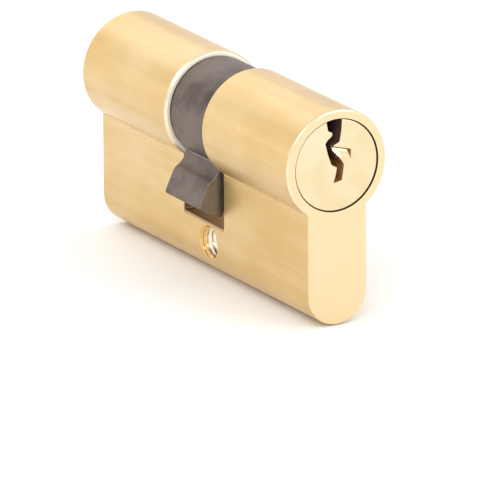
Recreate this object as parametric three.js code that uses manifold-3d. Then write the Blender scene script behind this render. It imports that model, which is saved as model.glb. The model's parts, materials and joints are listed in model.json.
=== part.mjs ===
// A double euro profile lock cylinder, 30 mm to either side of its cam, as an assembly:
// a brass housing, a keyed plug in either end, the cam between them with its sliding
// clutch, and five pin stacks a side with their springs and chamber plugs.
//
// Millimetres, +Z up. +X runs along the plugs to the front end, -Y is the side that the
// cam's lever leans to. The origin is the middle of the fixing screw's hole. The shapes
// below are drawn round the plugs' axis with x = 0 at the middle of the cam, and the
// outer group lowers and shifts them together onto the screw hole.
import * as THREE from "three";
import { mergeVertices } from "three/addons/utils/BufferGeometryUtils.js";
import Module from "manifold-3d";

const wasm = await Module();
wasm.setup();

// ---- Driving dimensions ----

// Profile of the housing
const halfLength = 30; // middle of the cam to either end face
const barrelDiameter = 17;
const overallHeight = 33; // top of the barrel to the bottom of the flange
const flangeWidth = 10;

// Opening for the cam
const barrelGap = 10.6; // between the two halves of the barrel
const cutoutWidth = 11.6; // through the flange, under the cam
const leverSwing = 14.9; // radius swept by the tip of the lever
const leverClearance = 0.7; // tip of the lever to the floor of the cutout

// Fixing screw hole, tapped M5
const screwHoleDiameter = 4.2;
const screwHoleChamfer = 0.6;
const screwHoleAhead = 1.3; // in front of the middle of the cam
const screwHoleWeb = 1.2; // metal between the cutout's floor and the hole

// Plugs
const plugDiameter = 13;
const plugHeadLip = 0.5; // the head's step over the body, on the radius
const plugHeadLength = 1.5;
const plugHeadChamfer = 0.25;
const plugRecess = 0.15; // behind the housing's end face
const journalStep = 1; // from the body down to the end that turns in the cam, on the radius
const journalEnd = 2.7; // middle of the cam to the plug's inner end
const runningClearance = 0.1; // on the radius, round all that turns

// Circlips that hold the plugs in
const circlipShoulder = 0.4; // past the plug's bore, on the radius
const circlipThickness = 0.8;
const circlipOpening = 4; // across the gap of the ring
const circlipPlay = 0.1; // to the housing, and to each wall of its groove
const grooveDepth = 0.5;

// Cam
const camEndPlay = 0.3; // to either half of the barrel
const camRimChamfer = 0.3;
const camSeatDepth = 0.9; // counterbore over each circlip
const camSeatPlay = 0.15; // round the circlip, on the radius
const camSeatWall = 0.6; // metal round the seat
const webWidth = 2; // inner web that the clutch drives
const leverTilt = 28; // degrees, from hanging straight down towards -Y
const leverNeckWidth = 3.2;
const leverNeckEnd = 9.5; // plug axis to where the neck starts to widen
const leverShoulder = 10.8; // plug axis to where it is widest
const leverShoulderWidth = 4.8;
const leverTipWidth = 4.4;

// Clutch, in two halves that slide together
const clutchTravel = 1.3;
const clutchHubPlay = 0.6; // to the web's bore, on the radius
const lugWidth = 2.4;
const lugThickness = 0.8;
const lugTipPlay = 0.4; // end of a lug to the cam's bearing
const lugInset = 0.05; // past the middle of the cam's web
const clutchJoint = 0.1; // between the two halves
const bladeThickness = 2;
const bladeSideWall = 1.1; // metal of the plug's groove beside the blade's slot
const bladeEnd = 5; // middle of the cam to the end of the blade
const slidingClearance = 0.1; // round the blade and the lugs

// Pin stacks
const pinCount = 5;
const firstPin = 5; // end face to the first pin
const pinPitch = 4;
const pinDiameter = 2.9;
const pinClearance = 0.1; // on the radius, in the chambers
const shearGap = 0.06; // pin ends to the plug's surface
const keyPinLengths = [5.2, 6.4, 4.6, 7.0, 5.8]; // from the end face inwards
const keyPinTipWidth = 1;
const keyPinTipLength = 1.1;
const pinBevel = 0.15;
const chamberTop = 1.8; // plug axis to the roof of the chambers in the plug
const driverLength = 5.5;
const spoolPins = [1, 3]; // drivers with a waist, counted from 0
const spoolWaist = 1.9;
const spoolCollar = 1.1;
const chamberPlugLength = 3;
const chamberPlugFit = 0.02; // pressed in, on the radius
const flushGap = 0.1; // chamber plugs to the skin of the flange
const springWire = 0.36;
const springPlay = 0.1; // narrower than a pin, on the radius
const springTurns = 6;
const springEndGap = 0.06;

// Keyway, seen from the end face as [to the right, up] from the plug's axis: the right
// flank downwards, then the left flank upwards. Its top is open through the plug's side.
const keywayRight = [[0.9, 5.4], [0.55, 3.5], [-0.55, 3.05], [-0.5, 2.25], [0.9, 0.6],
  [1.3, -0.1], [0.95, -2.45]];
const keywayLeft = [[-0.5, -2.7], [-0.15, -1.8], [0.15, -0.4], [-0.8, 0.15], [-1.4, 1.8], [-1.85, 3.55],
  [-1.45, 4.0], [-0.65, 4.6], [-0.65, 5.05], [-1.35, 5.4]];
const keywayMouth = [-1.9, 1.05]; // its left and right edge where it leaves the plug

// Roundness of the solids
const barrelFacets = 48;
const plugFacets = 40;
const pinFacets = 12;
const springSides = 4; // of the wire
const springSteps = 7; // in each turn

// ---- Sizes that follow from these ----

const barrelRadius = barrelDiameter / 2;
const flangeBottom = barrelRadius - overallHeight;
const plugRadius = plugDiameter / 2;
const plugHeadRadius = plugRadius + plugHeadLip;
const plugBoreRadius = plugRadius + runningClearance;
const journalRadius = plugRadius - journalStep;
const bearingRadius = journalRadius + runningClearance;
const cutoutFloor = -(leverSwing + leverClearance);
const screwHoleDrop = -cutoutFloor + screwHoleWeb + screwHoleDiameter / 2;
const camHalfWidth = barrelGap / 2 - camEndPlay;
const chamberRadius = pinDiameter / 2 + pinClearance;
const shearLine = -plugRadius;
const circlipRadius = plugBoreRadius + circlipShoulder;
const circlipOuterFace = barrelGap / 2 - circlipPlay;
const circlipInnerFace = circlipOuterFace - circlipThickness;
const grooveRadius = journalRadius - grooveDepth;
const camSeatRadius = circlipRadius + camSeatPlay;
const camRadius = camSeatRadius + camSeatWall;
const bladeHalfWidth = grooveRadius - bladeSideWall - slidingClearance;
const webBoreRadius = Math.hypot(bladeHalfWidth, bladeThickness / 2) + slidingClearance;
const lugReach = bearingRadius - lugTipPlay;
const slotEnd = bladeEnd + clutchTravel + slidingClearance * 3;
const pastEverything = 5; // how far a cutting shape runs on
const pastPlug = 0.5; // the same for the keyway, out of the plug's side

const sides = [{ name: "front", turn: 0 }, { name: "rear", turn: Math.PI }];

// ---- Materials ----

const brass = new THREE.MeshStandardMaterial({ color: 0xe6c27c, metalness: 0.9, roughness: 0.38 });
const plugBrass = new THREE.MeshStandardMaterial({ color: 0xe9cd92, metalness: 0.95, roughness: 0.25 });
const sinteredSteel = new THREE.MeshStandardMaterial({ color: 0x6d625e, metalness: 0.8, roughness: 0.5 });
const springSteel = new THREE.MeshStandardMaterial({ color: 0xb4b4b0, metalness: 1, roughness: 0.3 });
const pinBrass = new THREE.MeshStandardMaterial({ color: 0xd8b46a, metalness: 0.95, roughness: 0.3 });
const clutchSteel = new THREE.MeshStandardMaterial({ color: 0x8f8f92, metalness: 0.9, roughness: 0.4 });

// ---- Ways of making a solid ----

// A closed geometry as a solid that can be joined and cut.
function solidOf(geometry) {
  const bare = geometry.clone();
  bare.deleteAttribute("normal");
  bare.deleteAttribute("uv");
  const merged = mergeVertices(bare, 1e-4);
  const vertProperties = merged.attributes.position.array;
  return new wasm.Manifold(new wasm.Mesh({ numProp: 3, vertProperties, triVerts: merged.index.array }));
}

// A solid as a geometry again, with a flat normal on each face.
function geometryOf(solid) {
  const mesh = solid.getMesh();
  const geometry = new THREE.BufferGeometry();
  geometry.setAttribute("position", new THREE.BufferAttribute(mesh.vertProperties, 3));
  geometry.setIndex(new THREE.BufferAttribute(mesh.triVerts, 1));
  const flat = geometry.toNonIndexed();
  flat.computeVertexNormals();
  return flat;
}

// A turned shape round Y: [along, radius] pairs from one end of the axis to the other.
function turned(profile, facets) {
  return new THREE.LatheGeometry(profile.map(([along, radius]) => new THREE.Vector2(radius, along)), facets);
}

// The same, round the plugs' axis.
function turnedAlongX(profile, facets) {
  return solidOf(turned(profile, facets).rotateZ(-Math.PI / 2));
}

// The same, upright.
function turnedAlongZ(profile, facets) {
  return solidOf(turned(profile, facets).rotateX(Math.PI / 2));
}

// A plain round bar between two places on X or Z.
function bar(from, to, radius) {
  return [[from, 0], [from, radius], [to, radius], [to, 0]];
}

// A box from one corner to the other.
function block(low, high) {
  const middle = low.map((value, axis) => (value + high[axis]) / 2);
  const extent = low.map((value, axis) => high[axis] - value);
  return solidOf(new THREE.BoxGeometry(...extent).translate(...middle));
}

// A shape drawn in Y and Z, carried along X from one place to another.
function drawnAlongX(shape, from, to, curveSegments = 12) {
  const settings = { depth: to - from, bevelEnabled: false, curveSegments };
  const turn = new THREE.Matrix4().makeBasis(
    new THREE.Vector3(0, 1, 0), new THREE.Vector3(0, 0, 1), new THREE.Vector3(1, 0, 0));
  return solidOf(new THREE.ExtrudeGeometry(shape, settings).applyMatrix4(turn).translate(from, 0, 0));
}

// Where each pin stack of one side stands on X.
function pinPlaces() {
  return Array.from({ length: pinCount }, (_, i) => halfLength - firstPin - i * pinPitch);
}

// ---- Housing ----

// The flange's outline under the barrel, with its round bottom, drawn in by some distance.
function flangeShape(inset) {
  const half = flangeWidth / 2 - inset;
  const middle = flangeBottom + flangeWidth / 2;
  const shape = new THREE.Shape();
  shape.moveTo(half, 0);
  shape.lineTo(-half, 0);
  shape.lineTo(-half, middle);
  shape.absarc(0, middle, half, Math.PI, 2 * Math.PI, false);
  shape.lineTo(half, 0);
  return shape;
}

// The bore for one plug, with the counterbore for its head.
function plugBore(sign) {
  const headSeat = plugRecess + plugHeadLength;
  const headRadius = plugHeadRadius + runningClearance;
  const profile = [[0, 0], [0, plugBoreRadius], [halfLength - headSeat, plugBoreRadius],
    [halfLength - headSeat, headRadius], [halfLength + pastEverything, headRadius],
    [halfLength + pastEverything, 0]];
  return turnedAlongX(profile, barrelFacets).rotate([0, 0, sign > 0 ? 0 : 180]);
}

// The tapped hole across the flange, widened by a chamfer at either side.
function screwHole() {
  const half = flangeWidth / 2;
  const radius = screwHoleDiameter / 2;
  const wide = radius + screwHoleChamfer;
  const mouth = wide + pastEverything;
  const profile = [[-half - pastEverything, 0], [-half - pastEverything, mouth], [-half, wide],
    [screwHoleChamfer - half, radius], [half - screwHoleChamfer, radius], [half, wide],
    [half + pastEverything, mouth], [half + pastEverything, 0]];
  return solidOf(turned(profile, 32)).translate(screwHoleAhead, 0, -screwHoleDrop);
}

// The room for the cam: a gap between the barrel's halves, and a wider cutout in the flange.
function camOpening(barrel) {
  const across = barrelRadius + pastEverything;
  const gap = block([-barrelGap / 2, -across, cutoutFloor], [barrelGap / 2, across, across]);
  const cutout = block([-cutoutWidth / 2, -across, cutoutFloor], [cutoutWidth / 2, across, 0]);
  return gap.add(cutout.subtract(barrel));
}

function makeHousing() {
  const barrel = turnedAlongX(bar(-halfLength, halfLength, barrelRadius), barrelFacets);
  let housing = barrel.add(drawnAlongX(flangeShape(0), -halfLength, halfLength, 24));
  housing = housing.subtract(camOpening(barrel)).subtract(screwHole());
  for (const sign of [1, -1]) {
    housing = housing.subtract(plugBore(sign));
    for (const place of pinPlaces()) {
      const drilled = bar(flangeBottom - pastEverything, shearLine + 1, chamberRadius);
      housing = housing.subtract(turnedAlongZ(drilled, pinFacets).translate(sign * place, 0, 0));
    }
  }
  return housing;
}

// ---- Plugs ----

// The keyway's slot, right through a plug and out of its side at the top.
function keyway() {
  const top = plugHeadRadius + pastPlug;
  const [left, right] = keywayMouth;
  const outline = [[right, top], ...keywayRight, ...keywayLeft, [left, top]];
  const shape = new THREE.Shape(outline.map(([y, z]) => new THREE.Vector2(y, z)));
  return drawnAlongX(shape, 0, halfLength + pastEverything);
}

// A front plug: turned from bar, broached for the key, drilled for its pins, grooved for the
// circlip and slotted across its inner end for the clutch's blade.
function makePlug() {
  const face = halfLength - plugRecess;
  const headBack = face - plugHeadLength;
  const bodyEnd = barrelGap / 2;
  const grooveStart = circlipInnerFace - circlipPlay / 2;
  const profile = [[journalEnd, 0], [journalEnd, journalRadius], [grooveStart, journalRadius],
    [grooveStart, grooveRadius], [bodyEnd, grooveRadius], [bodyEnd, plugRadius],
    [headBack, plugRadius], [headBack, plugHeadRadius],
    [face - plugHeadChamfer, plugHeadRadius], [face, plugHeadRadius - plugHeadChamfer], [face, 0]];
  let plug = turnedAlongX(profile, plugFacets).subtract(keyway());
  const slotHalf = bladeThickness / 2 + slidingClearance;
  const slotSide = bladeHalfWidth + slidingClearance;
  plug = plug.subtract(block([0, -slotSide, -slotHalf], [slotEnd, slotSide, slotHalf]));
  for (const place of pinPlaces()) {
    const drilled = bar(-plugDiameter, chamberTop, chamberRadius);
    plug = plug.subtract(turnedAlongZ(drilled, pinFacets).translate(place, 0, 0));
  }
  return plug;
}

// The open ring that snaps into the plug's groove, its gap at the top over the keyway.
function makeCirclip() {
  const inner = grooveRadius + circlipPlay / 2;
  const ring = turnedAlongX(bar(circlipInnerFace, circlipOuterFace, circlipRadius), plugFacets);
  const eye = turnedAlongX(bar(0, halfLength, inner), plugFacets);
  const gap = block([0, -circlipOpening / 2, 0], [halfLength, circlipOpening / 2, barrelDiameter]);
  return ring.subtract(eye).subtract(gap);
}

// ---- Cam ----

// The lever's outline, hanging from the plug axis: a neck, two shoulders and a round tip.
function leverShape() {
  const tipHalf = leverTipWidth / 2;
  const tipAngle = Math.asin(tipHalf / leverSwing);
  const shape = new THREE.Shape();
  shape.moveTo(-leverNeckWidth / 2, -bearingRadius);
  shape.lineTo(-leverNeckWidth / 2, -leverNeckEnd);
  shape.lineTo(-leverShoulderWidth / 2, -leverShoulder);
  shape.absarc(0, 0, leverSwing, -Math.PI / 2 - tipAngle, -Math.PI / 2 + tipAngle, false);
  shape.lineTo(leverShoulderWidth / 2, -leverShoulder);
  shape.lineTo(leverNeckWidth / 2, -leverNeckEnd);
  shape.lineTo(leverNeckWidth / 2, -bearingRadius);
  return shape;
}

// The hole through the cam: a seat over each circlip, a bearing on each journal, and the
// narrow web in the middle, with two slots for the clutch's lugs.
function camBore() {
  const seat = camSeatRadius;
  const bearing = bearingRadius;
  const seatFloor = camHalfWidth - camSeatDepth;
  const past = camHalfWidth + pastEverything;
  const web = webWidth / 2;
  const profile = [[-past, 0], [-past, seat], [-seatFloor, seat], [-seatFloor, bearing], [-web, bearing],
    [-web, webBoreRadius], [web, webBoreRadius], [web, bearing], [seatFloor, bearing], [seatFloor, seat],
    [past, seat], [past, 0]];
  const slotHalf = lugWidth / 2 + slidingClearance;
  const slotReach = lugReach + 2 * slidingClearance;
  const lugSlots = block([-webWidth, -slotHalf, -slotReach], [webWidth, slotHalf, slotReach]);
  return turnedAlongX(profile, plugFacets).add(lugSlots);
}

function makeCam() {
  const low = camRadius - camRimChamfer;
  const edge = camHalfWidth - camRimChamfer;
  const profile = [[-camHalfWidth, 0], [-camHalfWidth, low], [-edge, camRadius], [edge, camRadius],
    [camHalfWidth, low], [camHalfWidth, 0]];
  const ring = turnedAlongX(profile, plugFacets);
  const lever = drawnAlongX(leverShape(), -camHalfWidth, camHalfWidth, 6).rotate([-leverTilt, 0, 0]);
  return ring.add(lever).subtract(camBore());
}

// ---- Clutch ----

// The front half: a hub whose two lugs drive the cam's web, and a blade in the plug's slot.
function makeClutchHalf() {
  const lugEnd = lugInset + lugThickness;
  const hubStart = (clutchJoint - clutchTravel) / 2;
  const hub = turnedAlongX(bar(hubStart, lugEnd, webBoreRadius - clutchHubPlay), plugFacets);
  const lugs = block([lugInset, -lugWidth / 2, -lugReach], [lugEnd, lugWidth / 2, lugReach]);
  const bladeHalf = bladeThickness / 2;
  const blade = block([lugInset, -bladeHalfWidth, -bladeHalf], [bladeEnd, bladeHalfWidth, bladeHalf]);
  return hub.add(lugs).add(blade);
}

// ---- Pin stacks ----

// A key pin: flat at the shear line, with a blunt cone that rides on the key's cuts.
function makeKeyPin(length) {
  const radius = pinDiameter / 2;
  const foot = -Math.sqrt(plugRadius ** 2 - radius ** 2) - shearGap / 6;
  const tip = foot + length;
  const profile = [[foot, 0], [foot, radius - pinBevel], [foot + pinBevel, radius],
    [tip - keyPinTipLength, radius], [tip, keyPinTipWidth / 2], [tip, 0]];
  return turnedAlongZ(profile, pinFacets);
}

// A driver pin: a plain bar, or a spool with a waist between two collars.
function makeDriverPin(waisted) {
  const radius = pinDiameter / 2;
  const top = shearLine - shearGap;
  const foot = top - driverLength;
  const waist = [[foot + spoolCollar, radius], [foot + spoolCollar + pinBevel * 2, spoolWaist / 2],
    [top - spoolCollar - pinBevel * 2, spoolWaist / 2], [top - spoolCollar, radius]];
  const profile = [[foot, 0], [foot, radius - pinBevel], [foot + pinBevel, radius],
    ...(waisted ? waist : []),
    [top - pinBevel, radius], [top, radius - pinBevel], [top, 0]];
  return turnedAlongZ(profile, pinFacets);
}

// The brass slug pressed into a chamber's mouth and dressed to the flange's round bottom.
function makeChamberPlug() {
  const top = flangeBottom + chamberPlugLength;
  const round = bar(flangeBottom - pastEverything, top, chamberRadius - chamberPlugFit);
  const slug = turnedAlongZ(round, pinFacets);
  return slug.intersect(drawnAlongX(flangeShape(flushGap), -pinDiameter, pinDiameter, 24));
}

// The path of a coil spring between two heights, winding round Z.
class CoilPath extends THREE.Curve {
  constructor(foot, top) {
    super();
    this.foot = foot;
    this.top = top;
  }

  getPoint(t) {
    const radius = pinDiameter / 2 - springPlay - springWire / 2;
    const angle = 2 * Math.PI * springTurns * t;
    const height = this.foot + (this.top - this.foot) * t;
    return new THREE.Vector3(radius * Math.cos(angle), radius * Math.sin(angle), height);
  }
}

// A compression spring between a driver pin and its chamber plug.
function makePinSpring() {
  const inset = springWire / 2 + springEndGap;
  const foot = flangeBottom + chamberPlugLength + inset;
  const path = new CoilPath(foot, shearLine - shearGap - driverLength - inset);
  const corners = Array.from({ length: springSides }, (_, i) => {
    const angle = (2 * Math.PI * i) / springSides;
    return new THREE.Vector2(Math.cos(angle), Math.sin(angle)).multiplyScalar(springWire / 2);
  });
  const settings = { steps: springTurns * springSteps, extrudePath: path };
  return new THREE.ExtrudeGeometry(new THREE.Shape(corners), settings);
}

// ---- Assembly ----

const cylinder = new THREE.Group();
cylinder.position.set(-screwHoleAhead, 0, screwHoleDrop);

// Adds one named piece to a group, at a place along that group's X.
function add(group, name, geometry, material, x = 0) {
  const mesh = new THREE.Mesh(geometry, material.clone());
  mesh.name = name;
  mesh.position.x = x;
  group.add(mesh);
}

// The five pin stacks of one side, numbered from its end face inwards.
function addPinStacks(group, side) {
  pinPlaces().forEach((x, i) => {
    const number = i + 1;
    const driver = makeDriverPin(spoolPins.includes(i));
    add(group, `${side}_key_pin_${number}`, geometryOf(makeKeyPin(keyPinLengths[i])), pinBrass, x);
    add(group, `${side}_driver_pin_${number}`, geometryOf(driver), pinBrass, x);
    add(group, `${side}_pin_spring_${number}`, makePinSpring(), springSteel, x);
    add(group, `${side}_chamber_plug_${number}`, geometryOf(makeChamberPlug()), brass, x);
  });
}

add(cylinder, "housing", geometryOf(makeHousing()), brass);
add(cylinder, "cam", geometryOf(makeCam()), sinteredSteel);

// The rear half is the front half turned round, so one key fits both ends. The clutch's
// rear half stands back by the travel, out of the cam's web.
for (const { name, turn } of sides) {
  const group = new THREE.Group();
  group.rotation.z = turn;
  cylinder.add(group);
  add(group, `${name}_plug`, geometryOf(makePlug()), plugBrass);
  add(group, `${name}_circlip`, geometryOf(makeCirclip()), springSteel);
  add(group, `${name}_clutch`, geometryOf(makeClutchHalf()), clutchSteel, turn === 0 ? 0 : clutchTravel);
  addPinStacks(group, name);
}

export default cylinder;
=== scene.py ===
import json
import math

import bmesh
import bpy
import numpy as np
from mathutils import Matrix, Vector


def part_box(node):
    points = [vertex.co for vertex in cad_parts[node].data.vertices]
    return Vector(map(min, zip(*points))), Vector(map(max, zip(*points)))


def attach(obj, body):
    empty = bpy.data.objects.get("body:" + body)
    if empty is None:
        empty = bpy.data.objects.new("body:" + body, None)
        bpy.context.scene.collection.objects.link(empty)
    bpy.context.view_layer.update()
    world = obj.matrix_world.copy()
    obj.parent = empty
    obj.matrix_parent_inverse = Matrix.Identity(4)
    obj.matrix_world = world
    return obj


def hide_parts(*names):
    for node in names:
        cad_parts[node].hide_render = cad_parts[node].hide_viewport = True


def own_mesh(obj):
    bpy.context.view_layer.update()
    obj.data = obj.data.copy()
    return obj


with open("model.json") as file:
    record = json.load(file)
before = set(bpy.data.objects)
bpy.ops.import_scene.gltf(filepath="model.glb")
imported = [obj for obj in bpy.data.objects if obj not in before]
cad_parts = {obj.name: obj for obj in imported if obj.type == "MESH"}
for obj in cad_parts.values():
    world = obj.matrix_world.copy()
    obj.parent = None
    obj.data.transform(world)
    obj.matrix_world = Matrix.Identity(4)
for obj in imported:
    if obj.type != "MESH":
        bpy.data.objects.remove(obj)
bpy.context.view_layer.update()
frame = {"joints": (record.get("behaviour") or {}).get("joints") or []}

# ---- The view ----
# The cylinder is looked at along its length from the keyed end, a little from above, through a
# long lens. The frame's own pieces give the middle of the cam and the axis that the plugs turn on.
MM = 0.001
CAM_LOW, CAM_HIGH = (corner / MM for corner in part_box("cam"))
CAM_MIDDLE = (CAM_LOW.x + CAM_HIGH.x) / 2
PLUG_AXIS = next(j["pos_m"][2] for j in frame["joints"] if j["name"] == "front_plug_turn") / MM
VIEW_TURN, VIEW_RISE, VIEW_ROLL = math.radians(59.26), math.radians(17.92), math.radians(-0.32)
VIEW_DISTANCE = 1.495  # in metres
LENS, SENSOR_WIDTH = 722, 36
AIM_ALONG, AIM_BELOW = 4.985, 19.9  # from the middle of the cam, and below the plugs' axis

view_back = Vector((math.sin(VIEW_TURN) * math.cos(VIEW_RISE), -math.cos(VIEW_TURN) * math.cos(VIEW_RISE),
                    math.sin(VIEW_RISE)))
view_right = Vector((math.cos(VIEW_TURN), math.sin(VIEW_TURN), 0))
view_up = view_back.cross(view_right)
view_aim = Vector((CAM_MIDDLE + AIM_ALONG, 0, PLUG_AXIS - AIM_BELOW)) * MM
camera = bpy.data.objects.new("view", bpy.data.cameras.new("view"))
camera.data.sensor_width = SENSOR_WIDTH
camera.data.lens = LENS
camera.data.clip_end = 20
camera_axes = Matrix((view_right, view_up, view_back)).transposed() @ Matrix.Rotation(VIEW_ROLL, 3, "Z")
camera.matrix_world = Matrix.Translation(view_aim + view_back * VIEW_DISTANCE) @ camera_axes.to_4x4()
bpy.context.scene.collection.objects.link(camera)
bpy.context.scene.camera = camera

# ---- Housing ----
# One length of drawn brass bar of euro profile: a round barrel on a narrow flange with a round
# bottom. It is cut across for the cam, bored from both ends for the plugs, drilled from below for
# the pins and tapped M5 through the flange for the screw that holds it in a door.
BARREL_RADIUS = 8.5
HALF_LENGTH = 30
FLANGE_HALF = 5
FLANGE_BOTTOM = -24.5  # from here on, heights are from the plugs' axis and X from the middle of the cam
GAP_HALF = 5.3  # between the halves of the barrel
CUTOUT_HALF = 5.8  # through the flange
CUTOUT_FLOOR = -15.6
CUTOUT_REACH = 16.5  # from the plugs' axis to its far corners
EDGE_ROUND = 0.16  # what tumbling leaves on an edge
SHARP_EDGE = math.radians(32)
RIM_ROUND = 0.4  # on the turned rims of the barrel
GAP_CHAMFERS = (0.34, 0.3)  # on the rear half's edge and the front half's
BORE_RADIUS = 6.6
HEAD_BORE_RADIUS = 7.1
HEAD_BORE_DEPTH = 1.65
BORE_EASE = 0.06  # on its mouth
CHAMBER_RADIUS = 1.55
CHAMBER_TOP = -5.8  # inside the bore
SCREW_X, SCREW_Z = -CAM_MIDDLE, -PLUG_AXIS  # the screw's hole is the frame's origin
SCREW_CORE, SCREW_THREAD_DEPTH, SCREW_PITCH, SCREW_CHAMFER = 2.1, 0.36, 0.8, 0.6
PIN_PLACES = np.array([25, 21, 17, 13, 9])
PAINTED_GAP_SHADE = (0.13, 0.075, 0.03, 1)  # painted shade: near-black brass for the gaps in the bores and round the plug heads
PAINTED_HIGHLIGHT = (0.98, 0.93, 0.81, 1)  # painted highlight: near-white on the barrel's faces beside the cam, and a little on its rims
CUTOUT_SHADE = (0.30, 0.165, 0.06, 1)  # painted shade: dark brown on the walls and floor of the cutout
TAPPED = (0.80, 0.50, 0.17, 1)  # the mouth of the screw's hole
PAINTED_THREAD_HIGHLIGHT = (0.97, 0.90, 0.74, 1)  # painted highlight: near-white on the thread deeper in the hole


def eased(start, corner, end, steps=6):
    """Points from start to end, bending at the corner: (1-t)^2 start + 2t(1-t) corner + t^2 end."""
    t = np.linspace(0, 1, steps)[:, None]
    start, corner, end = (np.array(p, float) for p in (start, corner, end))
    return (1 - t) ** 2 * start + 2 * t * (1 - t) * corner + t**2 * end


def rounded(corners, radius, closed=True, steps=6):
    """An outline whose every corner is eased, leaving its edges that radius before the corner. An open
    outline keeps its two end points."""
    corners = np.array(corners, float)
    before, after = np.roll(corners, 1, 0) - corners, np.roll(corners, -1, 0) - corners
    reach = np.broadcast_to(np.array(radius, float), len(corners)).copy()
    if not closed:
        reach[[0, -1]] = 0
    length_before, length_after = np.linalg.norm(before, axis=1), np.linalg.norm(after, axis=1)
    start = corners + before * (np.minimum(reach, length_before * 0.48) / length_before)[:, None]
    end = corners + after * (np.minimum(reach, length_after * 0.48) / length_after)[:, None]
    t = np.linspace(0, 1, steps)[None, :, None]
    curve = (1 - t) ** 2 * start[:, None] + 2 * t * (1 - t) * corners[:, None] + t**2 * end[:, None]
    points = curve.reshape(-1, corners.shape[1])
    kept = np.linalg.norm(points - np.roll(points, 1, 0), axis=1) > 1e-6
    return points[kept]


def skin(name, rings):
    """A closed mesh over rings of points in millimetres from the cam's middle and the plugs' axis:
    rings[i, j] is point j of ring i, each ring closes on itself, neighbouring rings are joined by
    quads, and a flat face closes either end."""
    count, around = rings.shape[:2]
    index = np.arange(count * around).reshape(count, around)
    low, high = index[:-1], index[1:]
    quads = np.stack([low, np.roll(low, -1, 1), np.roll(high, -1, 1), high], -1).reshape(-1, 4)
    points = (rings.reshape(-1, 3) + (CAM_MIDDLE, 0, PLUG_AXIS)) * MM
    mesh = bpy.data.meshes.new(name)
    mesh.from_pydata(points.tolist(), [], quads.tolist() + [index[0].tolist(), index[-1].tolist()])
    outward(mesh)
    made = bpy.data.objects.new(name, mesh)
    bpy.context.scene.collection.objects.link(made)
    return made


def outward(mesh):
    """Merges doubled points and turns all faces to point out."""
    shell = bmesh.new()
    shell.from_mesh(mesh)
    bmesh.ops.remove_doubles(shell, verts=shell.verts, dist=1e-8)
    bmesh.ops.recalc_face_normals(shell, faces=shell.faces)
    shell.to_mesh(mesh)
    shell.free()


def turned(name, profile, facets, upright=False, at=(0, 0, 0)):
    """A turned bar along X, or an upright one along Z: each [along, radius] point of the profile becomes
    a circle, whose point at angle a lies at radius cos a and radius sin a."""
    profile = np.array(profile, float)
    angle = (np.arange(facets) + 0.5) * 2 * np.pi / facets
    along = np.repeat(profile[:, :1], facets, 1)
    across, up = profile[:, 1:] * np.cos(angle), profile[:, 1:] * np.sin(angle)
    order = (across, up, along) if upright else (along, across, up)
    return skin(name, np.stack(order, -1) + np.array(at, float))


def drawn(name, outline, stations):
    """A bar drawn along X: the outline in Y and Z at each [x, inset] station, pulled in by that inset
    along its own normals, which are the turned tangents of the outline."""
    outline, stations = np.array(outline, float), np.array(stations, float)
    tangent = np.roll(outline, -1, 0) - np.roll(outline, 1, 0)
    normal = np.stack([tangent[:, 1], -tangent[:, 0]], 1) / np.linalg.norm(tangent, axis=1)[:, None]
    area = np.sum(outline[:, 0] * np.roll(outline[:, 1], -1) - outline[:, 1] * np.roll(outline[:, 0], -1))
    normal *= np.sign(area)
    across = outline[None] - stations[:, 1, None, None] * normal[None]
    along = np.broadcast_to(stations[:, 0, None, None], (len(stations), len(outline), 1))
    return skin(name, np.concatenate([along, across], -1))


def rounded_ends(start, end, radius):
    """Stations for a bar whose end edges are rounded off: the inset eases from radius to nothing."""
    return np.concatenate([eased((start, radius), (start, 0), (start + radius, 0)),
                           eased((end - radius, 0), (end, 0), (end, radius))])


def cut(body, operation, *tools):
    """Joins the tools to the body, or cuts them from it, and removes them."""
    for tool in tools:
        step = body.modifiers.new(operation, "BOOLEAN")
        step.operation, step.solver, step.object = operation, "EXACT", tool
        settled = bpy.data.meshes.new_from_object(body.evaluated_get(bpy.context.evaluated_depsgraph_get()))
        body.modifiers.clear()
        body.data = settled
        bpy.data.objects.remove(tool)
    outward(body.data)
    return body


def together(name, parts):
    """One object in place of several separate solids."""
    shell = bmesh.new()
    for part in parts:
        shell.from_mesh(part.data)
        bpy.data.objects.remove(part)
    mesh = bpy.data.meshes.new(name)
    shell.to_mesh(mesh)
    shell.free()
    made = bpy.data.objects.new(name, mesh)
    bpy.context.scene.collection.objects.link(made)
    return made


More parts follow.
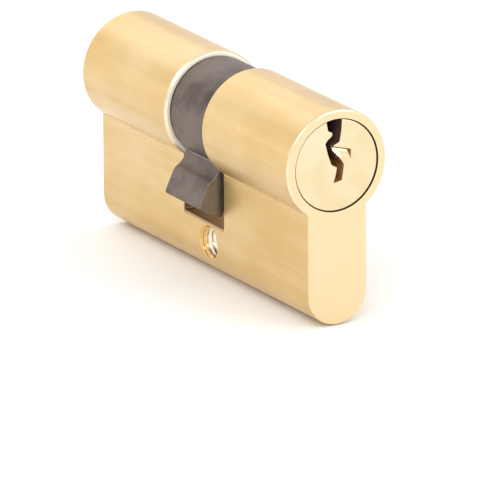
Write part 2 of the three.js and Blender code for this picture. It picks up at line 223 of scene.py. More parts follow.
class Wire:
    """One output socket of a shader tree. Sums on wires add Math nodes, and node adds any other."""

    def __init__(self, tree, socket):
        self.tree, self.socket = tree, socket

    def node(self, kind, settings, values, output=0):
        """A node of that kind: its settings are set first, then its sockets take values or wires."""
        made = self.tree.nodes.new(kind)
        for name, value in settings.items():
            setattr(made, name, value)
        for name, value in values.items():
            if isinstance(value, Wire):
                self.tree.links.new(value.socket, made.inputs[name])
            else:
                made.inputs[name].default_value = value
        return Wire(self.tree, made.outputs[output])

    def math(self, operation, *values):
        """A Math node of that operation on these values or wires."""
        return self.node("ShaderNodeMath", {"operation": operation}, dict(enumerate(values)))

    def __add__(self, other):
        return self.math("ADD", self, other)

    __radd__ = __add__

    def __sub__(self, other):
        return self.math("SUBTRACT", self, other)

    def __rsub__(self, other):
        return self.math("SUBTRACT", other, self)

    def __mul__(self, other):
        return self.math("MULTIPLY", self, other)

    __rmul__ = __mul__

    def __pow__(self, other):
        return self.math("POWER", self, other)

    def __abs__(self):
        return self.math("ABSOLUTE", self)

    def larger(self, other):
        """The larger of this and the other."""
        return self.math("MAXIMUM", self, other)

    def step(self, low, high):
        """0 below low, 1 above high, and a smooth rise between them."""
        return self.node("ShaderNodeMapRange", {"interpolation_type": "SMOOTHSTEP"},
                         {"Value": self, "From Min": low, "From Max": high})

    def part(self, axis):
        """One of the three numbers of a vector."""
        return self.node("ShaderNodeSeparateXYZ", {}, {"Vector": self}, output=axis)

    def rings(self, scale, detail=3.0):
        """Noise from 0 to 1 over this one number, with that many grains to one of its units."""
        return self.node("ShaderNodeTexNoise", {"noise_dimensions": "1D"},
                         {"W": self, "Scale": scale, "Detail": detail})

    def noise(self, stretch, detail=3.0, roughness=0.5, seed=(0, 0, 0)):
        """Noise from 0 to 1 over a vector, with that many grains to a metre along X, Y and Z."""
        moved = self.node("ShaderNodeVectorMath", {"operation": "MULTIPLY_ADD"},
                          {0: self, 1: stretch, 2: seed})
        return moved.node("ShaderNodeTexNoise", {},
                          {"Vector": moved, "Scale": 1.0, "Detail": detail, "Roughness": roughness})

    def mix(self, first, second):
        """The colour between two colours, by this wire as the share of the second. The colour sockets
        of a Mix node are its inputs 6 and 7 and its output 2."""
        return self.node("ShaderNodeMix", {"data_type": "RGBA"}, {"Factor": self, 6: first, 7: second},
                         output=2)

    def feed(self, shader, socket):
        """Links this wire to that socket of the shader."""
        self.tree.links.new(self.socket, shader.inputs[socket])


def metal(name, **fixed):
    """A new metal: its material, its shader and the place on the piece as a wire."""
    material = bpy.data.materials.new(name)
    material.use_nodes = True
    shader = material.node_tree.nodes["Principled BSDF"]
    shader.inputs["Metallic"].default_value = 1.0
    for socket, value in fixed.items():
        shader.inputs[socket.replace("_", " ")].default_value = value
    place = Wire(material.node_tree, None).node("ShaderNodeTexCoord", {}, {}, output="Object")
    return material, shader, place


def finish_metal(shader, colour, roughness, height, strength, distance):
    """Feeds the shader's colour and roughness, and its normal by a bump of that height. The distance
    is what a height of 1 stands for, in metres."""
    bump = height.node("ShaderNodeBump", {}, {"Height": height, "Strength": strength, "Distance": distance})
    colour.feed(shader, "Base Color")
    roughness.feed(shader, "Roughness")
    bump.feed(shader, "Normal")


def slope_along_x(place):
    """How far a surface faces along X: 1 on a face square to the plugs' axis, 0 along it."""
    normal = place.node("ShaderNodeNewGeometry", {}, {}, output="Normal")
    return abs(normal.part(0))


def faces_along_x(place):
    """1 on the faces square to the plugs' axis, 0 on those along it."""
    return slope_along_x(place).step(0.8, 0.95)


def from_middle(place):
    """The distance along X from the middle of the cam, in millimetres."""
    return abs(place.part(0) - CAM_MIDDLE * MM) * (1 / MM)


def from_axis(place):
    """The distance from the plugs' axis, in millimetres."""
    beside, above = place.part(1), place.part(2) - PLUG_AXIS * MM
    return (beside * beside + above * above) ** 0.5 * (1 / MM)


def from_screw(place):
    """The distance from the axis of the screw's hole, which runs through the frame's origin, in
    millimetres."""
    along, above = place.part(0), place.part(2)
    return (along * along + above * above) ** 0.5 * (1 / MM)


def brushed_brass(name, light, dark, faced_and_lit):
    """Brass rubbed lengthwise: grains 12 mm long and a fifth of a millimetre wide, over broad soft
    bands. Its end faces are turned on a lathe instead, with rings round the plugs' axis, and painted lighter
    as painted light. The barrel's rims and its faces beside the cam carry a painted highlight. The bores and
    the cutout for the cam are painted dark as painted shade, and the screw's hole is orange at its mouth and
    near-white deeper in, a painted highlight."""
    material, shader, place = metal(name, Coat_Weight=0.7, Coat_Roughness=0.3)
    fine = place.noise((70, 5200, 5200), detail=4, roughness=0.62)
    bands = place.noise((22, 620, 620), detail=2, seed=(3, 7, 1))
    blotch = place.noise((90, 120, 120), detail=2, seed=(9, 2, 4))
    radius, away = from_axis(place), from_middle(place)
    slope, end = slope_along_x(place), faces_along_x(place)
    grain = fine + end * (radius.rings(5.2) - fine) * 0.8
    tone = (grain * 0.35 + bands * 0.35 + blotch * 0.55).step(0.42, 0.84)

    barrel = 1 - radius.step(BARREL_RADIUS, BARREL_RADIUS + 0.2)
    # painted highlight: the rounded rims of the barrel are painted lighter
    rim = slope.step(0.08, 0.3) * (1 - slope.step(0.9, 0.99))
    rim = rim * barrel * radius.step(BARREL_RADIUS - 0.8, BARREL_RADIUS - 0.6)
    # painted highlight: the faces beside the cam are painted near-white, made rougher and less metallic
    highlight_beside_cam = end * barrel * radius.step(BARREL_RADIUS - 0.9, BARREL_RADIUS - 0.8)
    highlight_beside_cam = highlight_beside_cam * (1 - away.step(GAP_HALF + 0.05, GAP_HALF + 0.3))
    # painted shade: the bore walls near each mouth are painted near-black, standing in for the shade in the
    # gap round the plug
    bore = (1 - radius.step(HEAD_BORE_RADIUS + 0.2, HEAD_BORE_RADIUS + 0.4)) * (1 - end)
    # painted shade: the cutout under the cam is painted dark brown
    milled = radius.step(BARREL_RADIUS, BARREL_RADIUS + 0.5) * (1 - away.step(CUTOUT_HALF, CUTOUT_HALF + 0.1))
    milled = milled * (1 - radius.step(CUTOUT_REACH, CUTOUT_REACH + 0.5))
    tapped = 1 - from_screw(place).step(SCREW_CORE + SCREW_CHAMFER, SCREW_CORE + SCREW_CHAMFER + 0.1)
    deep = 1 - (abs(place.part(1)) * (1 / MM)).step(FLANGE_HALF - 1.4, FLANGE_HALF - 0.8)

    # painted light: end faces take the lighter colour, partly lathe-faced brass and partly painted light; the
    # rims take it as a painted highlight
    colour = ((end + rim) * 0.85).mix(tone.mix(dark, light), faced_and_lit)
    colour = (highlight_beside_cam + rim * 0.25).mix(colour, PAINTED_HIGHLIGHT)
    colour = (milled * 0.85).mix(colour, CUTOUT_SHADE)
    # painted highlight: the deeper part of the screw's hole is painted near-white
    colour = tapped.mix(colour, deep.mix(TAPPED, PAINTED_THREAD_HIGHLIGHT))
    colour = bore.mix(colour, PAINTED_GAP_SHADE)
    roughness = 0.36 + grain * 0.13 + blotch * 0.06 - end * 0.06
    roughness = roughness - rim * 0.2 - tapped * 0.28 + highlight_beside_cam * 0.2
    (1 - highlight_beside_cam * 0.65).feed(shader, "Metallic")
    finish_metal(shader, colour, roughness, grain, strength=0.35, distance=0.00003)
    return material


def settle(piece, material, body, node):
    """Finishes a piece: it gets its metal, rides on its body and stands for its node of the frame. Its
    shading is smooth, broken where two faces meet at more than the sharp edge's angle, and the large
    faces set the normals of the rounded edges between them."""
    piece.data.materials.clear()
    piece.data.materials.append(material)
    piece.data.shade_smooth()
    piece.data.set_sharp_from_angle(angle=SHARP_EDGE)
    weight = piece.modifiers.new("face normals", "WEIGHTED_NORMAL")
    weight.keep_sharp = True
    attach(piece, body)
    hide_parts(node)


def make_housing():
    """The bar of euro profile, less everything that is cut out of it."""
    slope = eased((-HALF_LENGTH, BARREL_RADIUS - RIM_ROUND), (-HALF_LENGTH, BARREL_RADIUS),
                  (-HALF_LENGTH + RIM_ROUND, BARREL_RADIUS))
    barrel = turned("housing_body", np.concatenate([slope, (slope * (-1, 1))[::-1]]), 192)
    turn = np.linspace(0, -np.pi, 48)
    middle = FLANGE_BOTTOM + FLANGE_HALF
    bottom = np.stack([FLANGE_HALF * np.cos(turn), middle + FLANGE_HALF * np.sin(turn)], 1)
    outline = np.concatenate([[(FLANGE_HALF, -1.0)], bottom, [(-FLANGE_HALF, -1.0)]])
    flange = drawn("flange", outline, rounded_ends(-HALF_LENGTH, HALF_LENGTH, EDGE_ROUND))
    cut(barrel, "UNION", flange)
    bores = together("bores", [plug_bore(side) for side in (1, -1)])
    places = [(side * x, 0) for side in (1, -1) for x in PIN_PLACES]
    drilled = chambers(places, FLANGE_BOTTOM - 2, CHAMBER_TOP)
    return cut(barrel, "DIFFERENCE", bores, flange_cutout(), barrel_gap(), screw_hole(), drilled)


def flange_cutout():
    """The slot milled through the flange under the cam: an outline in X and Z carried across along Y
    and spread at either side, which eases its edges. It stops at the barrel, whose ends overhang it."""
    side, top = FLANGE_HALF, -2
    right = eased((side - EDGE_ROUND, 0), (side, 0), (side, EDGE_ROUND))
    right = np.concatenate([right, [(side + 4, EDGE_ROUND)]])
    across = np.concatenate([(right * (-1, 1))[::-1], right])
    outline = rounded([(-CUTOUT_HALF, CUTOUT_FLOOR), (CUTOUT_HALF, CUTOUT_FLOOR),
                       (CUTOUT_HALF, top), (-CUTOUT_HALF, top)], 0.3)
    spread = np.sign(outline - (0, (CUTOUT_FLOOR + top) / 2))
    rings = outline[None] + across[:, 1, None, None] * spread[None]
    beside = np.broadcast_to(across[:, 0, None, None], (len(across), len(outline), 1))
    tool = skin("cutout", np.concatenate([rings[..., :1], beside, rings[..., 1:]], -1))
    cover = turned("cover", [(-9, BARREL_RADIUS), (9, BARREL_RADIUS)], 192)
    return cut(tool, "DIFFERENCE", cover)


def barrel_gap():
    """The disc cut out of the barrel for the cam. It leaves a chamfer at 45 degrees on either edge."""
    halves = []
    for chamfer in GAP_CHAMFERS:
        corners = [(GAP_HALF, 1), (GAP_HALF, BARREL_RADIUS - chamfer),
                   (GAP_HALF + chamfer, BARREL_RADIUS + 0.01), (GAP_HALF + chamfer + 0.05, BARREL_RADIUS + 3)]
        halves.append(rounded(corners, [0, 0.12, 0, 0], closed=False))
    rear, front = halves
    return turned("gap", np.concatenate([rear * (-1, 1), front[::-1]]), 180)


def plug_bore(side):
    """The bore for one plug, with the wider seat of its head, eased at its mouth."""
    mouth = eased((HALF_LENGTH - BORE_EASE, HEAD_BORE_RADIUS), (HALF_LENGTH, HEAD_BORE_RADIUS),
                  (HALF_LENGTH + 0.01, HEAD_BORE_RADIUS + BORE_EASE))
    seat = HALF_LENGTH - HEAD_BORE_DEPTH
    profile = np.concatenate([[(GAP_HALF - 1, BORE_RADIUS), (seat, BORE_RADIUS), (seat, HEAD_BORE_RADIUS)],
                              mouth, [(HALF_LENGTH + 2, HEAD_BORE_RADIUS + BORE_EASE)]])
    return turned("bore", profile * (side, 1), 160)


def screw_hole():
    """The tapped hole across the flange. Its radius at an angle a and a depth y follows a triangle wave
    of y / pitch + a / turn, flat for a while at crest and root, and widens to the chamfer at either
    side."""
    past = FLANGE_HALF + 1.03
    depth = np.linspace(-past, past, 241)[:, None]
    angle = np.linspace(0, 2 * np.pi, 64, endpoint=False)[None]
    phase = (depth / SCREW_PITCH + angle / (2 * np.pi)) % 1
    thread = SCREW_CORE + SCREW_THREAD_DEPTH * np.clip(np.abs(2 * phase - 1) * 1.25 - 0.12, 0, 1)
    chamfer = SCREW_CORE + SCREW_CHAMFER - (FLANGE_HALF - np.abs(depth))
    radius = np.maximum(thread, chamfer)
    along, up = SCREW_X + radius * np.cos(angle), SCREW_Z + radius * np.sin(angle)
    return skin("screw hole", np.stack(np.broadcast_arrays(along, depth, up), -1))


def chambers(places, low, high):
    """Upright drilled holes for pins, each at an [x, y] place."""
    profile = [(low, CHAMBER_RADIUS), (high, CHAMBER_RADIUS)]
    return together("chambers", [turned("chamber", profile, 48, True, (x, y, 0)) for x, y in places])


body_brass = brushed_brass("brushed_brass", light=(0.745, 0.545, 0.275, 1), dark=(0.64, 0.425, 0.14, 1),
                           faced_and_lit=(0.82, 0.655, 0.40, 1))
settle(make_housing(), body_brass, "case", "housing")

# ---- Plugs ----
# The round cores that the keys turn, one at either end and both alike: turned from brass bar and
# polished on the face, broached right through for the key, drilled for the pins, grooved for the
# circlip and slotted across the inner end for the clutch.
PLUG_RADIUS = 6.5
PLUG_HEAD_RADIUS = 7.0
PLUG_HEAD_LENGTH = 1.5
FACE_ROUND = 0.2  # on the edge of the polished face
PLUG_FACE = HALF_LENGTH - 0.15
PLUG_HEAD_START = PLUG_FACE - PLUG_HEAD_LENGTH
JOURNAL_RADIUS = 5.5
GROOVE_RADIUS = 5.0
GROOVE_START = 4.35
PLUG_INNER_END = 2.7
CHAMBER_ROOF = 1.8
KEYWAY = [(1.05, 8.0), (0.9, 5.4), (0.55, 3.5), (-0.55, 3.05), (-0.5, 2.25), (0.9, 0.6), (1.3, -0.1),
          (0.95, -2.45), (-0.5, -2.7), (-0.15, -1.8), (0.15, -0.4), (-0.8, 0.15), (-1.4, 1.8),
          (-1.85, 3.55), (-1.45, 4.0), (-0.65, 4.6), (-0.65, 5.05), (-1.35, 5.4), (-1.9, 8.0)]
KEYWAY_ROUND, KEYWAY_FLARE = 0.17, 0.05
BROACHED_AND_SHADED = (0.47, 0.235, 0.085, 1)  # the keyway's flanks low down: dull broached brass, painted darker brown as shade in the keyway
KEYWAY_TOP_SHADE = (0.15, 0.085, 0.06, 1)  # painted shade, darker towards the keyway's top
BLADE_SLOT = (6.6, 3.9, 1.1)  # along X, and to either side of the axis
FACET_LEFT = (-0.9, 1.75, 3.1, 0.62)  # Y, the heights of its low and top edges, depth
FACET_RIGHT = (2.5, 0.55, 2.1, 0.62)


def block(name, low, high, radius):
    """A rectangular bar along X between two corners, with all its edges rounded. The four long ones
    are rounder, so that the ends can be pulled in without folding over."""
    (x0, y0, z0), (x1, y1, z1) = low, high
    outline = rounded([(y0, z0), (y1, z0), (y1, z1), (y0, z1)], 2 * radius)
    return drawn(name, outline, rounded_ends(x0, x1, radius))


def make_plug():
    """The front plug: a turned bar less its keyway, its five chambers, the clutch's slot and the facet
    beside the keyway. The keyway flares a little at the face, where the broaching burr is dressed off."""
    face_edge = rounded([(PLUG_FACE - 1, PLUG_HEAD_RADIUS), (PLUG_FACE, PLUG_HEAD_RADIUS), (PLUG_FACE, 5)],
                        [0, FACE_ROUND, 0], closed=False)[1:-1]
    head = PLUG_HEAD_START
    profile = np.concatenate([
        eased((PLUG_INNER_END, JOURNAL_RADIUS - 0.25), (PLUG_INNER_END, JOURNAL_RADIUS),
              (PLUG_INNER_END + 0.25, JOURNAL_RADIUS)),
        [(GROOVE_START, JOURNAL_RADIUS), (GROOVE_START, GROOVE_RADIUS), (GAP_HALF, GROOVE_RADIUS)],
        eased((GAP_HALF, PLUG_RADIUS - 0.1), (GAP_HALF, PLUG_RADIUS), (GAP_HALF + 0.1, PLUG_RADIUS)),
        [(head, PLUG_RADIUS)],
        eased((head, PLUG_HEAD_RADIUS - 0.1), (head, PLUG_HEAD_RADIUS), (head + 0.1, PLUG_HEAD_RADIUS)),
        face_edge])
    plug = turned("front_plug_core", profile, 192)
    flare = eased((PLUG_FACE - 0.1, 0), (PLUG_FACE, 0), (PLUG_FACE, -KEYWAY_FLARE), 5)
    stations = np.concatenate([[(0, 0)], flare, [(HALF_LENGTH + 2, -KEYWAY_FLARE)]])
    keyway = drawn("keyway", rounded(KEYWAY, KEYWAY_ROUND), stations)
    end, beside, above = BLADE_SLOT
    slot = block("slot", (0, -beside, -above), (end, beside, above), 0.1)
    drilled = chambers([(x, 0) for x in PIN_PLACES], -PLUG_HEAD_RADIUS - 2, CHAMBER_ROOF)
    return cut(plug, "DIFFERENCE", keyway, slot, drilled, lead_in())


def lead_in():
    """The small facet ground into the face beside the keyway's bend, where the key's tip lands. Each end
    is a wedge: level with the face at its low edge, and sunk by the depth at its top edge."""
    face, proud = PLUG_FACE, PLUG_FACE + 1
    ends = [[(proud, y, low), (face, y, low), (face - depth, y, top), (proud, y, top)]
            for y, low, top, depth in (FACET_LEFT, FACET_RIGHT)]
    return skin("lead in", np.array(ends))


def opposite(piece, name, shift=0.0):
    """A copy of a front piece for the rear: turned half round the upright through the cam's middle,
    then moved along X by the shift in millimetres."""
    middle = Vector((CAM_MIDDLE, 0, 0)) * MM
    turn = Matrix.Translation(middle + Vector((shift, 0, 0)) * MM) @ Matrix.Rotation(math.pi, 4, "Z")
    mesh = piece.data.copy()
    mesh.transform(turn @ Matrix.Translation(-middle))
    made = bpy.data.objects.new(name, mesh)
    bpy.context.scene.collection.objects.link(made)
    return made


def polished_brass(name, light, dark):
    """Brass turned and polished: fine rings round the plugs' axis on its faces and round its sides,
    scratches, and a faint cloudiness. Inside the plug the keyway's flanks are dull brown with painted
    shade, darker towards the top, and the head's side is painted near-black as shade in the gap."""
    material, shader, place = metal(name)
    radius, away, end = from_axis(place), from_middle(place), faces_along_x(place)
    along = place.part(0) * (1 / MM)
    rings = (along + end * (radius - along)).rings(7.0, detail=4.0)
    cloud = place.noise((260, 260, 260), detail=3, seed=(2, 5, 8))
    scratch = place.noise((700, 9000, 1600), detail=3, seed=(1, 1, 6)).step(0.62, 0.8)
    tone = (cloud * 0.8 + rings * 0.3).step(0.35, 0.75)

    head = away.step(PLUG_HEAD_START - 0.01, PLUG_HEAD_START + 0.01)
    skin_radius = PLUG_RADIUS - 0.1 + head * (PLUG_HEAD_RADIUS - PLUG_RADIUS)
    # painted shade: the keyway, chambers and slot inside the plug are painted dark brown and made less
    # metallic
    inside = (1 - (radius - skin_radius).step(0, 0.05)) * (1 - end)
    inside = inside * away.step(GAP_HALF + 0.1, GAP_HALF + 0.2)
    # painted shade: the plug head's side is painted near-black so that the gap round the face reads dark
    head_gap_shade = radius.step(PLUG_HEAD_RADIUS - 0.04, PLUG_HEAD_RADIUS - 0.01) * (1 - end)
    # painted shade: darker towards the top of the keyway
    keyway_shade = place.part(2).step((PLUG_AXIS - 1) * MM, (PLUG_AXIS + 3) * MM).mix(BROACHED_AND_SHADED, KEYWAY_TOP_SHADE)

    colour = head_gap_shade.mix(inside.mix(tone.mix(dark, light), keyway_shade), PAINTED_GAP_SHADE)
    roughness = 0.15 + rings * 0.07 + cloud * 0.08 + scratch * 0.08
    (1 - inside * 0.75).feed(shader, "Metallic")
    finish_metal(shader, colour, roughness, rings + scratch * 0.6, strength=0.16, distance=0.00002)
    return material


plug_brass = polished_brass("polished_brass", light=(0.80, 0.68, 0.46, 1), dark=(0.755, 0.605, 0.365, 1))
front_plug = make_plug()
rear_plug = opposite(front_plug, "rear_plug_core")
settle(front_plug, plug_brass, "front_plug", "front_plug")
settle(rear_plug, plug_brass, "rear_plug", "rear_plug")

# ---- Circlips ----
# Open rings punched from spring steel strip. Each snaps into its plug's groove behind the barrel
# and holds the plug in. The opening stands over the keyway.
CIRCLIP_OUTER, CIRCLIP_INNER = 7.0, 5.05
CIRCLIP_X = (4.4, 5.2)
CIRCLIP_OPENING = 4.0


def make_circlip():
    """A rounded section carried round an arc: section point (x, r) at angle a lies at r cos a, r sin a."""
    (x0, x1), low, high = CIRCLIP_X, CIRCLIP_INNER, CIRCLIP_OUTER
    section = rounded([(x0, low), (x1, low), (x1, high), (x0, high)], 0.14, steps=4)
    half = math.asin(CIRCLIP_OPENING / 2 / low)
    angle = np.linspace(np.pi / 2 + half, np.pi / 2 + 2 * np.pi - half, 120)[:, None]
    along, radius = section.T
    across, up = radius * np.cos(angle), radius * np.sin(angle)
    return skin("front_retaining_ring", np.stack(np.broadcast_arrays(along, across, up), -1))


def steel(name, light, dark, grain, rough):
    """Steel with a rolled or drawn grain of that many lines to a metre on each axis."""
    material, shader, place = metal(name)
    lines = place.noise(grain, detail=4, roughness=0.6)
    heat = place.noise((300, 300, 300), detail=2, seed=(4, 4, 1))
    tone = (lines * 0.5 + heat * 0.6).step(0.35, 0.75)
    finish_metal(shader, tone.mix(dark, light), rough + lines * 0.12 + heat * 0.1, lines,
                 strength=0.25, distance=0.00002)
    return material


spring_steel = steel("spring_steel", light=(0.62, 0.62, 0.60, 1), dark=(0.40, 0.39, 0.38, 1),
                     grain=(4000, 500, 500), rough=0.2)
front_circlip = make_circlip()
rear_circlip = opposite(front_circlip, "rear_retaining_ring")
settle(front_circlip, spring_steel, "front_plug", "front_circlip")
settle(rear_circlip, spring_steel, "rear_plug", "rear_circlip")

# ---- Cam ----
# The ring between the plugs whose lever works the lock's bolt: one piece of pressed and sintered
# steel, steam-blackened, rubbed bright on its edges, and turned round the plugs' journals.
CAM_HALF = 5.0
CAM_RADIUS = 7.75
CAM_SEAT_RADIUS, CAM_SEAT_DEPTH = 7.15, 0.9
CAM_BEARING_RADIUS = 5.6
WEB_HALF, WEB_RADIUS = 1.0, 4.03
LUG_SLOT = (1.3, 5.4)
LEVER_TILT = math.radians(28)
LEVER_TIP = 14.9
LEVER_HALF = [(5.6, 1.6), (9.5, 1.6), (10.8, 2.4)]  # distance from the axis, half of the width there
LEVER_TIP_HALF = 2.2


def make_cam():
    """A turned ring joined to a lever, less its bore. The lever's outline is mirrored about its
    middle, its tip is an arc about the plugs' axis, and the whole leans by the tilt."""
    rim = eased((CAM_HALF - 0.3, CAM_RADIUS), (CAM_HALF, CAM_RADIUS), (CAM_HALF, CAM_RADIUS - 0.3))
    ring = turned("cam_with_lever", np.concatenate([(rim * (-1, 1))[::-1], rim]), 192)
    spread = math.asin(LEVER_TIP_HALF / LEVER_TIP)
    sweep = np.linspace(-spread, spread, 9)
    tip = np.stack([LEVER_TIP * np.sin(sweep), -LEVER_TIP * np.cos(sweep)], 1)
    left = np.array([(-half, -distance) for distance, half in LEVER_HALF])
    outline = np.concatenate([left, tip, (left * (-1, 1))[::-1]])
    corner_reach = np.concatenate([(0, 0.9, 0.5, 0.45), np.full(7, 0.02), (0.45, 0.5, 0.9, 0)])
    outline = rounded(outline, corner_reach)
    lean, drop = outline[:, 1] * math.sin(LEVER_TILT), outline[:, 1] * math.cos(LEVER_TILT)
    across, lift = outline[:, 0] * math.cos(LEVER_TILT), outline[:, 0] * math.sin(LEVER_TILT)
    leaning = np.stack([across + lean, drop - lift], 1)
    lever = drawn("lever", leaning, rounded_ends(-CAM_HALF, CAM_HALF, 0.22))
    return cut(cut(ring, "UNION", lever), "DIFFERENCE", *cam_bore())


def cam_bore():
    """The hole through the cam: a seat over each circlip, a bearing on each journal, and in the middle
    a narrow web with two slots for the clutch's lugs."""
    floor, end = CAM_HALF - CAM_SEAT_DEPTH, CAM_HALF + 0.01
    half = np.concatenate([
        [(WEB_HALF, WEB_RADIUS), (WEB_HALF, CAM_BEARING_RADIUS)],
        [(floor, CAM_BEARING_RADIUS), (floor, CAM_SEAT_RADIUS)],
        eased((CAM_HALF - 0.1, CAM_SEAT_RADIUS), (CAM_HALF, CAM_SEAT_RADIUS), (end, CAM_SEAT_RADIUS + 0.1)),
        [(end + 1, CAM_SEAT_RADIUS + 0.1)]])
    across, reach = LUG_SLOT
    return [turned("cam bore", np.concatenate([(half * (-1, 1))[::-1], half]), 160),
            block("lug slots", (-2, -across, -reach), (2, across, reach), 0.1)]


def sintered_steel(name, light, dark, worn):
    """Steam-blackened sintered steel: a mottled brown-grey skin, open pores a tenth of a millimetre
    across, and bare metal where an edge has rubbed and a little on the ring's end faces. An edge is
    found by how far a rounded normal turns away from the true one."""
    material, shader, place = metal(name)
    mottle = place.noise((420, 420, 420), detail=4, roughness=0.6)
    cloud = place.noise((110, 150, 150), detail=2, seed=(5, 3, 9))
    pores = place.node("ShaderNodeTexVoronoi", {}, {"Vector": place, "Scale": 5200.0}).step(0.12, 0.3)
    sand = place.noise((6500, 6500, 6500), detail=3, seed=(8, 1, 2))
    true = place.node("ShaderNodeNewGeometry", {}, {}, output="Normal")
    rounded_off = place.node("ShaderNodeBevel", {"samples": 6}, {"Radius": 0.00022})
    likeness = true.node("ShaderNodeVectorMath", {"operation": "DOT_PRODUCT"}, {0: true, 1: rounded_off},
                         output="Value")
    edge = (1 - likeness + mottle * 0.03).step(0.02, 0.09)
    tone = (mottle * 0.55 + cloud * 0.6 + pores * 0.1).step(0.42, 0.82)
    bare = (edge * 0.75).larger(faces_along_x(place) * 0.22)
    roughness = 0.36 + mottle * 0.16 + sand * 0.1 - edge * 0.12
    finish_metal(shader, bare.mix(tone.mix(dark, light), worn), roughness,
                 sand * 0.5 + pores * 0.5 + mottle * 0.4, strength=0.35, distance=0.00004)
    return material


cam_steel = sintered_steel("sintered_steel", light=(0.205, 0.166, 0.145, 1), dark=(0.095, 0.074, 0.063, 1),
                           worn=(0.6, 0.57, 0.53, 1))
settle(make_cam(), cam_steel, "cam", "cam")

# ---- Clutch ----
# Two steel halves between the plugs, face to face. A key pushes them 1.3 mm along, and the half whose
# lugs then stand in the cam's web makes the cam turn with its own plug. Each blade slides in its
# plug's slot. They are cut from blackened free-machining steel.
CLUTCH_TRAVEL = 1.3
HUB_RADIUS, HUB_X = 3.43, (-0.6, 0.85)
LUG_X, LUG_HALF, LUG_REACH = (0.05, 0.85), 1.2, 5.2
BLADE_END, BLADE_HALF, BLADE_THICK = 5.0, 3.8, 1.0  # the last is half of its thickness


def make_clutch():
    """The front half: a turned hub joined to a bar with two lugs and to the flat blade."""
    (start, end), (low, high), radius = HUB_X, LUG_X, HUB_RADIUS
    profile = np.concatenate([eased((start, radius - 0.2), (start, radius), (start + 0.2, radius)),
                              eased((end - 0.1, radius), (end, radius), (end, radius - 0.1))])
    hub = turned("front_clutch_half", profile, 96)
    lugs = block("lugs", (low, -LUG_HALF, -LUG_REACH), (high, LUG_HALF, LUG_REACH), 0.15)
    blade = block("blade", (low, -BLADE_HALF, -BLADE_THICK), (BLADE_END, BLADE_HALF, BLADE_THICK), 0.2)
    return cut(hub, "UNION", lugs, blade)


clutch_steel = steel("blackened_steel", light=(0.30, 0.30, 0.31, 1), dark=(0.17, 0.165, 0.165, 1),
                     grain=(900, 5000, 900), rough=0.28)
front_clutch = make_clutch()
rear_clutch = opposite(front_clutch, "rear_clutch_half", -CLUTCH_TRAVEL)
settle(front_clutch, clutch_steel, "front_clutch", "front_clutch")
settle(rear_clutch, clutch_steel, "rear_clutch", "rear_clutch")

# ---- Pins ----
# Five stacks a side, all turned from brass rod on an automatic lathe. A key pin is cut to its own
# length and ends in a blunt cone that rides on the key. A driver pin stands under it on the spring,
# and the second and fourth are waisted as spools against picking.
PIN_RADIUS = 1.45
KEY_PIN_FOOT = -6.346
KEY_PIN_LENGTHS = [5.2, 6.4, 4.6, 7.0, 5.8]  # from the end face inwards
KEY_PIN_TIP_RADIUS, KEY_PIN_TIP_LENGTH = 0.5, 1.1
DRIVER_TOP, DRIVER_LENGTH = -6.56, 5.5
SPOOL_NUMBERS, SPOOL_RADIUS, SPOOL_COLLAR = (2, 4), 0.95, 1.1


def make_key_pin(name, length, at):
    """A turned pin: a rounded flat foot, a straight side, a cone and a blunt round tip."""
    tip = KEY_PIN_FOOT + length
    corners = [(KEY_PIN_FOOT, 0.4), (KEY_PIN_FOOT, PIN_RADIUS), (tip - KEY_PIN_TIP_LENGTH, PIN_RADIUS),
               (tip, KEY_PIN_TIP_RADIUS), (tip, 0.1)]
    return turned(name, rounded(corners, [0, 0.2, 0.35, 0.2, 0], closed=False), 40, True, at)


def make_driver_pin(name, waisted, at):
    """A turned pin, plain or with a waist between two collars."""
    low, top = DRIVER_TOP - DRIVER_LENGTH, DRIVER_TOP
    slope = 0.3
    waist = [(low + SPOOL_COLLAR, PIN_RADIUS), (low + SPOOL_COLLAR + slope, SPOOL_RADIUS),
             (top - SPOOL_COLLAR - slope, SPOOL_RADIUS), (top - SPOOL_COLLAR, PIN_RADIUS)]
    corners = [(low, 0.4), (low, PIN_RADIUS), *(waist if waisted else []), (top, PIN_RADIUS), (top, 0.4)]
    reach = [0, 0.18, *([0.1, 0.15, 0.15, 0.1] if waisted else []), 0.18, 0]
    return turned(name, rounded(corners, reach, closed=False, steps=5), 40, True, at)


def rod_brass(name, light, dark):
    """Brass off an automatic lathe: tool rings across the pin's length, and a dull film of oil."""
    material, shader, place = metal(name)
    rings = place.part(2).rings(6500.0)
    film = place.noise((500, 500, 500), detail=3, seed=(7, 2, 2))
    tone = (rings * 0.5 + film * 0.6).step(0.35, 0.8)
    finish_metal(shader, tone.mix(dark, light), 0.2 + rings * 0.12 + film * 0.12, rings,
                 strength=0.4, distance=0.00003)
    return material


pin_brass = rod_brass("turned_brass", light=(0.88, 0.69, 0.36, 1), dark=(0.74, 0.52, 0.23, 1))
for side, sign in (("front", 1), ("rear", -1)):
    for number, (place, length) in enumerate(zip(PIN_PLACES, KEY_PIN_LENGTHS), start=1):
        at = (sign * place, 0, 0)
        key_pin = make_key_pin(f"{side}_bottom_pin_{number}", length, at)
        driver = make_driver_pin(f"{side}_top_pin_{number}", number in SPOOL_NUMBERS, at)
        node = f"{side}_key_pin_{number}"
        settle(key_pin, pin_brass, node, node)
        node = f"{side}_driver_pin_{number}"
        settle(driver, pin_brass, node, node)

# ---- Springs ----
# Coil springs of hard drawn steel wire, one under each driver pin. The first and last turns lie
# closed on themselves.
WIRE_RADIUS = 0.18
WIRE_AIR = 0.02  # between the closed turns
COIL_RADIUS = 1.17
SPRING_FOOT, SPRING_TOP = -21.32, -12.3
SPRING_TURNS = 7.5
CHAMBER_PLUG_TOP = -21.5


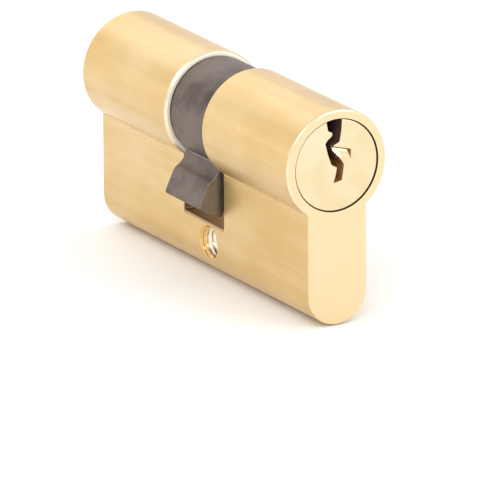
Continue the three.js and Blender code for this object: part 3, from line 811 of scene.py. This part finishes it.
def make_spring(name, at):
    """A round wire along a helix: at share t of its length the angle is 2 pi turns t, and the height
    rises by a wire's thickness over the first and last turn and evenly in between."""
    t = np.linspace(0, 1, 260)
    closed_turn, wire = 1 / SPRING_TURNS, 2 * WIRE_RADIUS + WIRE_AIR
    places = [0, closed_turn, 1 - closed_turn, 1]
    heights = [SPRING_FOOT, SPRING_FOOT + wire, SPRING_TOP - wire, SPRING_TOP]
    angle, height = 2 * np.pi * SPRING_TURNS * t, np.interp(t, places, heights)
    outwards = np.stack([np.cos(angle), np.sin(angle), np.zeros_like(t)], 1)
    path = outwards * COIL_RADIUS + np.stack([np.zeros_like(t), np.zeros_like(t), height], 1)
    tangent = np.gradient(path, axis=0)
    tangent /= np.linalg.norm(tangent, axis=1)[:, None]
    upwards = np.cross(tangent, outwards)
    turn = np.linspace(0, 2 * np.pi, 10, endpoint=False)[None, :, None]
    ring = outwards[:, None] * np.cos(turn) + upwards[:, None] * np.sin(turn)
    return skin(name, path[:, None] + ring * WIRE_RADIUS + np.array(at, float))


wire_steel = steel("drawn_wire", light=(0.66, 0.66, 0.65, 1), dark=(0.45, 0.45, 0.45, 1),
                   grain=(1500, 1500, 1500), rough=0.16)
for side, sign in (("front", 1), ("rear", -1)):
    for number, place in enumerate(PIN_PLACES, start=1):
        spring = make_spring(f"{side}_coil_spring_{number}", (sign * place, 0, 0))
        settle(spring, wire_steel, "case", f"{side}_pin_spring_{number}")
        (CHAMBER_PLUG_TOP + PLUG_AXIS) * MM
        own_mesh(spring)

# ---- Chamber plugs ----
# Brass slugs pressed into the chambers' mouths from below, then ground flush with the flange's
# round bottom, so that only a hair line shows round each.
SLUG_RADIUS = 1.53
SLUG_FLUSH = 0.03


def make_chamber_plug(name, at):
    """A disc whose top is flat and whose bottom lies on a cylinder of the flange's radius along X."""
    turn = np.linspace(0, 2 * np.pi, 64, endpoint=False)[None]
    share = np.concatenate([np.linspace(0.06, 0.95, 8), [1.0]])[:, None]
    x, y = SLUG_RADIUS * share * np.cos(turn), SLUG_RADIUS * share * np.sin(turn)
    below = FLANGE_BOTTOM + FLANGE_HALF - np.sqrt((FLANGE_HALF - SLUG_FLUSH) ** 2 - y**2)
    below = below + np.where(share == 1, 0.08, 0)
    bottom = np.stack([x, y, below], -1)
    side = np.stack([x[-1], y[-1], np.full(64, CHAMBER_PLUG_TOP - 0.15)], -1)
    top = np.stack([x[-1] * 0.9, y[-1] * 0.9, np.full(64, CHAMBER_PLUG_TOP)], -1)
    return skin(name, np.concatenate([bottom, side[None], top[None]]) + np.array(at, float))


slug_brass = brushed_brass("ground_brass", light=(0.74, 0.55, 0.28, 1), dark=(0.62, 0.42, 0.18, 1),
                           faced_and_lit=(0.8, 0.64, 0.39, 1))
for side, sign in (("front", 1), ("rear", -1)):
    for number, place in enumerate(PIN_PLACES, start=1):
        slug = make_chamber_plug(f"{side}_slug_{number}", (sign * place, 0, 0))
        settle(slug, slug_brass, "case", f"{side}_chamber_plug_{number}")

# ---- Studio ----
# A plain pale floor of matt paint just under the flange, in a white room. Four broad soft lamps are
# aimed at the cylinder: the key from the front and above, one over its rear end, one low on the near
# side, and one from the far side of the keyed end.
FLOOR_HALF, FLOOR_BELOW = 6, 0.0002  # in metres: half its width, and the gap under the flange
FLOOR_WHITE = (0.96, 0.96, 0.955, 1)
ROOM_LIGHT = 1.02

floor_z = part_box("housing")[0].z - FLOOR_BELOW
floor_mesh = bpy.data.meshes.new("floor")
floor_corners = np.array([(-1, -1, 0), (1, -1, 0), (1, 1, 0), (-1, 1, 0)]) * FLOOR_HALF + (0, 0, floor_z)
floor_mesh.from_pydata(floor_corners.tolist(), [], [(0, 1, 2, 3)])
floor = bpy.data.objects.new("floor", floor_mesh)
bpy.context.scene.collection.objects.link(floor)
floor_paint = bpy.data.materials.new("floor")
floor_paint.use_nodes = True
paint = floor_paint.node_tree.nodes["Principled BSDF"].inputs
paint["Base Color"].default_value = FLOOR_WHITE
paint["Roughness"].default_value = 0.9
floor_mesh.materials.append(floor_paint)


def soft_light(name, place, size, power):
    """A square white lamp of that size in metres, aimed at the cylinder."""
    lamp = bpy.data.lights.new(name, "AREA")
    lamp.size, lamp.energy = size, power
    made = bpy.data.objects.new(name, lamp)
    made.location = place
    made.rotation_euler = (view_aim - Vector(place)).to_track_quat("-Z", "Y").to_euler()
    bpy.context.scene.collection.objects.link(made)


soft_light("key", (0.85, -0.75, 0.98), 0.6, 5)
soft_light("top", (-1.1, 0.1, 0.65), 1.0, 2.2)
soft_light("low", (-0.7, -1.0, 0.2), 0.9, 1.45)
soft_light("far side", (1.02, 0.65, 0.58), 0.7, 4)
world = bpy.data.worlds.new("room")
bpy.context.scene.world = world
world.use_nodes = True
world.node_tree.nodes["Background"].inputs["Color"].default_value = (1, 1, 1, 1)
world.node_tree.nodes["Background"].inputs["Strength"].default_value = ROOM_LIGHT
bpy.context.scene.view_settings.view_transform = "Standard"
